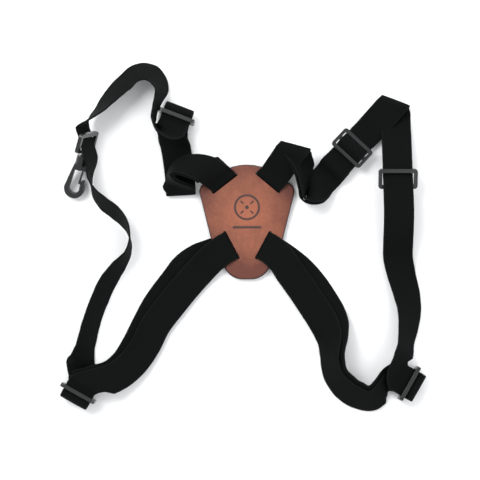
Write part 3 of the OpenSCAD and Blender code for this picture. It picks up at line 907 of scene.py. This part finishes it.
@dataclass
class Straps:
    """The six straps of webbing, and what is bent round and sewn to each tri-glide."""

    finish: WebbingFinish = field(default_factory=WebbingFinish)
    thread: ThreadFinish = field(default_factory=ThreadFinish)
    weave: Weave = field(default_factory=Weave)
    joining: Weave = field(default_factory=lambda: Weave(inset=0.975, ruffle=0.0))
    layer_gap: float = 2.3 * MM
    pieces: list[Thing] = field(default_factory=list)
    courses: dict[str, Course] = field(default_factory=dict)

    def lay(self) -> None:
        """Works out the fine course of every strap from its stations."""
        laid = Course.laid
        left, right = HOOKS[Side.LEFT], HOOKS[Side.RIGHT]
        outer = laid(LEFT_UPPER_OUT)
        under = laid([*LEFT_UPPER_OVER, *LEFT_UPPER_SLOT, *LEFT_UPPER_UNDER])
        left_upper = outer + under + outer.beside(self.layer_gap).part(2).turned() + laid(LEFT_UPPER_END)
        outer = laid([*RIGHT_UPPER_OVER, *RIGHT_UPPER_OUT])
        inner = outer.beside(-self.layer_gap).part(2).turned()
        under = laid([*RIGHT_UPPER_UNDER, *RIGHT_UPPER_SLOT])
        right_upper = laid(RIGHT_UPPER_TOP_END) + inner + under + outer + laid(RIGHT_UPPER_LOW_END)
        left_front = laid(LEFT_FRONT_START) + left.through(-14, 14) + laid(LEFT_FRONT_END)
        right_front = laid(RIGHT_FRONT_START) + right.through(-30, 20) + laid(RIGHT_FRONT_END)
        whole = {
            "left_upper_loop": left_upper,
            "left_front_strap": left_front,
            "left_lower_loop": laid(LEFT_LOWER_OUT),
            "right_upper_loop": right_upper,
            "right_front_strap": right_front,
            "right_lower_loop": laid(RIGHT_LOWER_OUT),
        }
        self.courses = {name: course.fine() for name, course in whole.items()}

    def tail(self, name: str, at_end: bool, distances: Sequence[float]) -> Course:
        """Stations near one end of a strap, in the order that leads towards that end.

        Args:
            name: Strap.
            at_end: True for its last end, False for its first.
            distances: Falling distances from that end, in mm.

        Returns:
            Course of those stations.
        """
        course = self.courses[name] if at_end else self.courses[name].turned()
        length = course.lengths()[-1]
        return course.stations_at([length - d * MM for d in distances])

    def make_strap(self, name: str, cut: tuple[float, float], seed: int) -> None:
        """Makes one long strap in place of its CAD node.

        Args:
            name: Strap and CAD node.
            cut: Lengths in mm left to the joining pieces at its first and last ends.
            seed: Seed of its ruffle.
        """
        course = self.courses[name].trimmed(cut[0] * MM, cut[1] * MM)
        obj = self.weave.sweep(f"Web_{name}", course, seed)
        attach(obj, "harness")
        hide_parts(name)
        self.pieces.append(obj)

    def make_joining(
        self, kind: str, corner: Corner, course: Course, away: tuple[float, float]
    ) -> None:
        """Makes a short piece that leaves a strap and goes round a tri-glide's middle bar.

        Args:
            kind: First part of its CAD node's name.
            corner: Which tri-glide.
            course: Its stations.
            away: Distances behind the tri-glide, in mm, from which two points are worked out and then left
                unused.
        """
        node = f"{kind}_{corner.value}"
        obj = self.joining.sweep(f"Web_{node}", course.fine(0.8 * MM), 0)
        pose = GLIDES[corner]
        way = pose.matrix()[:, 2] if pose.tilt else pose.matrix()[:, 1]
        middle = pose.to_world(np.zeros((1, 3)))[0]
        start, end = middle - way * away[0] * MM, middle - way * away[1] * MM
        tuple(start)
        tuple(end)
        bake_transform(obj)
        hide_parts(node)
        self.pieces.append(obj)

    def standing(self, corner: Corner, high: End, low: End, sewn: End, side: float) -> None:
        """Bight and sewn end of a tri-glide that stands on edge.

        Args:
            corner: Which tri-glide.
            high: Strap, and which of its ends, on the side where y across the bars is positive.
            low: The same on the other side.
            sewn: Strap and end that is sewn round the bar.
            side: Sign of y of that end.
        """
        pose = GLIDES[corner]
        first = self.tail(*high, [6.5, 4.0])
        last = self.tail(*low, [6.5, 4.0]).turned()
        bend = [
            (5.3, -3.6), (4.95, -1), (5, 1.8), (6, 4.4), (5, 7), (2.4, 8.5), (0, 8.9),
            (-2.4, 8.5), (-5, 7), (-6, 4.4), (-5, 1.8), (-4.95, -1), (-5.3, -3.6),
        ]
        like = first.lines[-1]
        flip = 1.0 if last.lines[0] @ like >= 0 else -1.0
        bight = first + pose.bent(bend, like) + Course(last.points, last.lines * flip)
        self.make_joining("bight", corner, bight, (13.0, 4.0))
        lead = self.tail(*sewn, [15.5, 12.5])
        loop = [
            (0.95, -12.5), (0.95, -8), (1.6, -5.4), (2.6, -3), (2.8, 1.4), (1.9, 2.9), (0, 3.5),
            (-1.9, 2.9), (-2.8, 1.4), (-2.6, -3), (-1.6, -5.4), (-0.95, -8), (-0.95, -13.5),
        ]
        turned = [(side * a, b) for a, b in loop]
        end = lead + pose.bent(turned, lead.lines[-1])
        self.make_joining("sewn_end", corner, end, (22.0, 13.0))

    def lying(self) -> None:
        """Bight and sewn end of the upper right tri-glide, which lies flat in line with its webbing."""
        corner = Corner.UPPER_RIGHT
        pose = GLIDES[corner]
        first = self.tail("right_upper_loop", False, [9.0, 6.0])
        last = self.tail("right_front_strap", False, [7.0, 4.5]).turned()
        bend = [
            (-14, -2.6), (-9.5, -3.1), (-6.3, -3), (-5, -1.7), (-4.9, 1), (-4.7, 3.4), (-3, 5.8), (0, 6.6),
            (3, 5.8), (4.7, 3.4), (4.9, 1), (5, -1.7), (6.3, -3), (8.5, -3.2), (11, -4.2),
        ]
        like = first.lines[-1]
        flip = 1.0 if last.lines[0] @ like >= 0 else -1.0
        bight = first + pose.bent(bend, like) + Course(last.points, last.lines * flip)
        self.make_joining("bight", corner, bight, (20.0, 12.0))
        lead = self.tail("right_upper_loop", True, [9.0, 6.0])
        loop = [
            (-11.5, -7.2), (-8, -7), (0.5, -6.4), (2.9, -3.8), (2.9, -1), (2.8, 1.4), (1.9, 2.9), (0, 3.5),
            (-1.9, 2.9), (-2.8, 1.4), (-2.9, -2.4), (-5.5, -5), (-12, -5.1), (-19, -5.1),
        ]
        end = lead + pose.bent(loop, lead.lines[-1])
        self.make_joining("sewn_end", corner, end, (26.0, 19.5))

    def tack(self, corner: Corner, middle: tuple[float, float], material: Material) -> None:
        """Bar tack of zigzag thread on both faces of a sewn end, as one piece: each point steps
        along the tack while its other place swings between plus and minus half of its width.

        Args:
            corner: Which tri-glide.
            middle: Its middle, across the bars and out of the tri-glide's plane, in mm.
            material: The thread.
        """
        pose = GLIDES[corner]
        flat = pose.tilt == 0
        steps = np.arange(57)
        x = np.linspace(-9.7, 9.7, len(steps))
        swing = np.where(steps % 2 == 0, 1.05, -1.05)
        made = []
        for face in (-1.0, 1.0):
            off = 1.83 * face
            across = np.full(len(x), middle[0]) + (swing if flat else off)
            out = np.full(len(x), middle[1]) + (off if flat else swing)
            points = pose.to_world(np.column_stack([x, across, out]))
            made.append(tube(f"Tack_{corner.value}", points, 0.17 * MM))
        obj = join(made, f"Tack_{corner.value}")
        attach(obj, f"glide_{corner.value}")
        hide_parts(f"bar_tack_{corner.value}")
        dress(obj, material)

    def build(self) -> None:
        """Builds and dresses every strap, joining piece and tack."""
        thread = self.thread.material()
        self.lay()
        cuts = {
            "left_upper_loop": (2.2, 11.0),
            "left_front_strap": (2.2, 2.2),
            "left_lower_loop": (2.2, 11.0),
            "right_upper_loop": (4.0, 4.0),
            "right_front_strap": (3.0, 2.2),
            "right_lower_loop": (2.2, 11.0),
        }
        for seed, (name, cut) in enumerate(cuts.items(), start=11):
            self.make_strap(name, cut, seed)
        first, last = False, True
        sets = {
            Corner.UPPER_LEFT: (("left_upper_loop", first), ("left_front_strap", first), 1.0),
            Corner.LOWER_LEFT: (("left_lower_loop", first), ("left_front_strap", last), 1.0),
            Corner.LOWER_RIGHT: (("right_front_strap", last), ("right_lower_loop", first), -1.0),
        }
        for corner, (high, low, side) in sets.items():
            loop = high if side > 0 else low
            self.standing(corner, high, low, (loop[0], last), side)
        self.lying()
        material = self.finish.material()
        for obj in self.pieces:
            dress(obj, material)
        for corner in sets:
            self.tack(corner, (0.0, -11.0), thread)
        self.tack(Corner.UPPER_RIGHT, (-15.0, -6.05), thread)


def join(parts: Sequence[Thing], name: str) -> Thing:
    """Several mesh objects made one.

    Args:
        parts: Objects at the origin; they are removed.
        name: Name of the new object.

    Returns:
        The joined object.
    """
    bm = bmesh.new()
    for part in parts:
        bm.from_mesh(part.data)
        bpy.data.objects.remove(part)
    mesh = bpy.data.meshes.new(name)
    bm.to_mesh(mesh)
    bm.free()
    obj = bpy.data.objects.new(name, mesh)
    bpy.context.scene.collection.objects.link(obj)
    return obj


@dataclass
class BackPatch:
    """Leather face with its slots, over the board, with a plain printed mark."""

    middle_x: float = 5.7
    lift: float = 4.2
    thick: float = 2.0
    edge: float = 0.8
    corners: tuple[Triple, ...] = ((0, 70, 42), (41, 41.5, 8), (29.5, -3, 18), (13.5, -35.6, 17))
    slots: tuple[Triple, ...] = (
        (-13.25, 45.3, 38), (23.45, 46.3, -40), (-7.55, -7.3, -62), (19.55, -7.3, 62)
    )
    slot_size: tuple[float, float] = (26.9, 2.8)
    finish: LeatherFinish = field(default_factory=LeatherFinish)

    def outline(self, count: int = 288) -> np.ndarray:
        """Outline with its corners rounded by arcs, at even steps of its length.

        Args:
            count: Number of points.

        Returns:
            Array (count, 2) in mm round the patch's middle, anticlockwise or clockwise.
        """
        right = np.array(self.corners, dtype=float)
        loop = np.concatenate([right, right[:0:-1] * [-1, 1, 1]])
        b, radius = loop[:, :2], loop[:, 2]
        u, v = unit(np.roll(b, 1, axis=0) - b), unit(np.roll(b, -1, axis=0) - b)
        half = np.arccos(np.clip((u * v).sum(1), -1, 1)) / 2
        centre = b + unit(u + v) * (radius / np.sin(half))[:, None]
        start, end = (b + w * (radius / np.tan(half))[:, None] - centre for w in (u, v))
        a0 = np.arctan2(start[:, 1], start[:, 0])
        turn = (np.arctan2(end[:, 1], end[:, 0]) - a0 + 3 * np.pi) % (2 * np.pi) - np.pi
        a = a0[:, None] + turn[:, None] * np.linspace(0, 1, 24)[None]
        arcs = centre[:, None] + radius[:, None, None] * np.stack([np.cos(a), np.sin(a)], axis=-1)
        ring = arcs.reshape(-1, 2)
        closed = np.vstack([ring, ring[:1]])
        run = np.concatenate([[0], np.cumsum(np.linalg.norm(np.diff(closed, axis=0), axis=1))])
        at = np.linspace(0, run[-1], count, endpoint=False)
        return np.column_stack([np.interp(at, run, closed[:, 0]), np.interp(at, run, closed[:, 1])])

    def leather(self) -> Thing:
        """Leather face: the outline shrunk towards its middle ring by ring, the top sinking to
        the rim along a quarter circle, closed by a flat underside.

        Returns:
            The leather before its slots are cut.
        """
        rim = self.outline()
        heart = np.array([0.0, 16.0])
        out = rim - heart
        reach = np.linalg.norm(out, axis=1, keepdims=True)
        turn = np.linspace(0, np.pi / 2, 7)
        inset = np.concatenate([np.zeros(1), self.edge * (1 - np.cos(turn))])
        level = np.concatenate([np.zeros(1), self.thick - self.edge + self.edge * np.sin(turn)])
        shrink = np.linspace(0.985, 0.02, 64)
        flat = heart + out[None] * (1 - inset[:, None, None] / reach[None])
        inner = heart + (rim - heart)[None] * (1 - self.edge / reach)[None] * shrink[:, None, None]
        top = np.full(len(shrink), self.thick)
        under = heart + out[None] * np.array([0.05, 0.5, 0.97])[:, None, None]
        xy = np.concatenate([under, flat, inner])
        z = np.concatenate([np.zeros(3), level, top])
        points = np.concatenate([xy, np.broadcast_to(z[:, None, None], (*xy.shape[:2], 1))], axis=-1)
        points = (points + [self.middle_x, 0, self.lift]) * MM + HOME
        u, v = np.meshgrid(np.arange(len(rim) + 1), np.arange(len(z)), indexing="xy")
        return Sheet(points, np.stack([u, v], axis=-1) * MM).build("Leather_face")

    def slot_tool(self, row: Triple) -> Thing:
        """Upright prism of a slot: a straight middle with a half circle at each end.

        Args:
            row: Middle in mm and heading in degrees.

        Returns:
            The prism, to cut with.
        """
        reach, r = (self.slot_size[0] - self.slot_size[1]) / 2, self.slot_size[1] / 2
        a = np.radians(np.concatenate([np.linspace(-90, 90, 13), np.linspace(90, 270, 13)]))
        x = np.concatenate([np.full(13, reach), np.full(13, -reach)]) + r * np.cos(a)
        y = r * np.sin(a)
        h = math.radians(row[2])
        c, s = math.cos(h), math.sin(h)
        xy = np.column_stack([x * c - y * s + row[0], x * s + y * c + row[1]])
        z = np.array([self.lift - 1.0, self.lift + self.thick + 1.0])
        points = np.stack([np.column_stack([xy, np.full(len(xy), level)]) for level in z]) * MM + HOME
        return Sheet(points, np.zeros((2, len(xy) + 1, 2))).build("Slot_tool")

    def build(self, nodes: dict[str, Thing]) -> None:
        """Builds the leather and dresses the board and the mark.

        Args:
            nodes: CAD nodes by name.
        """
        face = self.leather()
        tools = [self.slot_tool(row) for row in self.slots]
        for tool in tools:
            cut = face.modifiers.new("Slot", "BOOLEAN")
            cut.operation, cut.solver, cut.object = "DIFFERENCE", "EXACT", tool
        graph = bpy.context.evaluated_depsgraph_get()
        mesh = bpy.data.meshes.new_from_object(face.evaluated_get(graph))
        face.modifiers.clear()
        face.data = mesh
        for tool in tools:
            bpy.data.objects.remove(tool)
        mesh.polygons.foreach_set("use_smooth", np.ones(len(mesh.polygons), dtype=bool))
        mesh.set_sharp_from_angle(angle=math.radians(40))
        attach(face, "harness")
        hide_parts("patch_leather")
        dress(face, self.finish.material())
        dress(nodes["patch_backing"], RimFinish().material())
        dress(nodes["patch_mark"], InkFinish().material())
        LOG.info("back patch: %d faces of leather", len(mesh.polygons))


@dataclass
class Moulding:
    """Plastic part: the CAD shape with its edges rounded as a mould leaves them."""

    node: str
    body: str
    round: float

    def build(self, nodes: dict[str, Thing], material: Material) -> Thing:
        """Copies the node's mesh, merges it, and rounds its edges.

        Args:
            nodes: CAD nodes by name.
            material: The plastic.

        Returns:
            The moulding.
        """
        bm = bmesh.new()
        bm.from_mesh(nodes[self.node].data)
        bmesh.ops.remove_doubles(bm, verts=bm.verts, dist=2e-6)
        bmesh.ops.dissolve_limit(bm, angle_limit=math.radians(1.0), verts=bm.verts, edges=bm.edges)
        mesh = bpy.data.meshes.new(f"Moulded_{self.node}")
        bm.to_mesh(mesh)
        bm.free()
        obj = bpy.data.objects.new(mesh.name, mesh)
        bpy.context.scene.collection.objects.link(obj)
        mesh.polygons.foreach_set("use_smooth", np.ones(len(mesh.polygons), dtype=bool))
        bevel = obj.modifiers.new("Mould_radius", "BEVEL")
        bevel.width, bevel.segments, bevel.limit_method = self.round * MM, 4, "ANGLE"
        bevel.angle_limit = math.radians(35)
        bevel.use_clamp_overlap = True
        obj.modifiers.new("Even_shading", "WEIGHTED_NORMAL").keep_sharp = False
        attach(obj, self.body)
        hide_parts(self.node)
        dress(obj, material)
        return obj


@dataclass
class Hardware:
    """The four tri-glides and the two snap hooks with their loops and gates."""

    finish: PlasticFinish = field(default_factory=PlasticFinish)

    def build(self, nodes: dict[str, Thing]) -> None:
        """Builds every moulding.

        Args:
            nodes: CAD nodes by name.
        """
        material = self.finish.material()
        parts = [Moulding(f"tri_glide_{c.value}", f"glide_{c.value}", 0.85) for c in Corner]
        for s in Side:
            parts += [
                Moulding(f"hook_loop_{s.value}", f"loop_{s.value}", 0.8),
                Moulding(f"snap_hook_{s.value}", f"hook_{s.value}", 0.7),
                Moulding(f"hook_gate_{s.value}", f"gate_{s.value}", 0.25),
            ]
        for part in parts:
            part.build(nodes, material)
            LOG.info("moulding: %s on %s", part.node, part.body)


@dataclass
class Studio:
    """Pale floor, soft lights and the camera."""

    elevation: float = 86.0
    width: float = 0.4066
    aim: Triple = (-0.0027, -0.0040, 0.008)
    lens: float = 120.0
    sensor: float = 36.0
    floor_half: float = 3.0
    floor_level: float = -2e-4
    sky: float = 0.85
    lights: tuple[tuple[str, Triple, float, float], ...] = (
        ("Key", (-0.7, 0.55, 1.3), 0.7, 16.0),
        ("Fill", (0.9, -0.5, 1.2), 0.9, 7.0),
        ("Back", (0.2, 1.2, 0.8), 0.8, 5.0),
    )

    def camera(self) -> None:
        """Camera almost straight above, far enough off for a nearly parallel view."""
        data = bpy.data.cameras.new("Camera")
        data.lens, data.sensor_width = self.lens, self.sensor
        data.clip_end = 20.0
        distance = self.width / 2 / (self.sensor / 2 / self.lens)
        e = math.radians(self.elevation)
        back = Vector((0, -math.cos(e), math.sin(e)))
        obj = bpy.data.objects.new("Camera", data)
        obj.location = Vector(self.aim) + back * distance
        obj.rotation_mode = "QUATERNION"
        obj.rotation_quaternion = (-back).to_track_quat("-Z", "Y")
        bpy.context.scene.collection.objects.link(obj)
        bpy.context.scene.camera = obj

    def floor(self) -> None:
        """Wide pale floor just under the harness."""
        a, z = self.floor_half, self.floor_level
        points = np.array([[-a, -a, z], [a, -a, z], [a, a, z], [-a, a, z]])
        mesh = bpy.data.meshes.new("Floor")
        mesh.from_pydata(points.tolist(), [], [(0, 1, 2, 3)])
        obj = bpy.data.objects.new("Floor", mesh)
        bpy.context.scene.collection.objects.link(obj)
        s = Shading("Pale_floor")
        s.set(Base_Color=(0.93, 0.93, 0.93, 1.0), Roughness=0.9, Specular_IOR_Level=0.1)
        dress(obj, s.material)
        obj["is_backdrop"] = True

    def light(self, name: str, place: Triple, size: float, power: float) -> None:
        """Square soft light that faces the harness.

        Args:
            name: Name of the light.
            place: Where it hangs, in metres.
            size: Side of the square.
            power: Power in watts.
        """
        data = bpy.data.lights.new(name, "AREA")
        data.shape, data.size, data.energy = "SQUARE", size, power
        obj = bpy.data.objects.new(name, data)
        obj.location = place
        obj.rotation_mode = "QUATERNION"
        obj.rotation_quaternion = (-Vector(place)).to_track_quat("-Z", "Y")
        bpy.context.scene.collection.objects.link(obj)

    def build(self) -> None:
        """Sets up the world, the floor, the lights and the camera."""
        world = bpy.data.worlds.new("Soft_room")
        world.use_nodes = True
        background = world.node_tree.nodes["Background"]
        background.inputs[0].default_value = (0.96, 0.98, 1.0, 1.0)
        background.inputs[1].default_value = self.sky
        bpy.context.scene.world = world
        bpy.context.scene.view_settings.view_transform = "Standard"
        self.floor()
        for name, place, size, power in self.lights:
            self.light(name, place, size, power)
        self.camera()


def corners(box: tuple[Vector, Vector]) -> list[list[float]]:
    """A box's two corners as plain lists."""
    return [[float(v) for v in corner] for corner in box]


def main() -> None:
    """Loads the frame and builds the harness class by class."""
    logging.basicConfig(level=logging.INFO, format="%(name)s: %(message)s")
    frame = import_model()
    cad_box = corners(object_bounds())
    Studio().build()
    BackPatch().build(frame["nodes"])
    straps = Straps()
    straps.build()
    for piece in straps.pieces:
        LOG.info("webbing: %s, %d faces", piece.name, len(piece.data.polygons))
    Hardware().build(frame["nodes"])
    {"cad": cad_box, "visual": corners(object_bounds())}


if __name__ == "__main__":
    main()
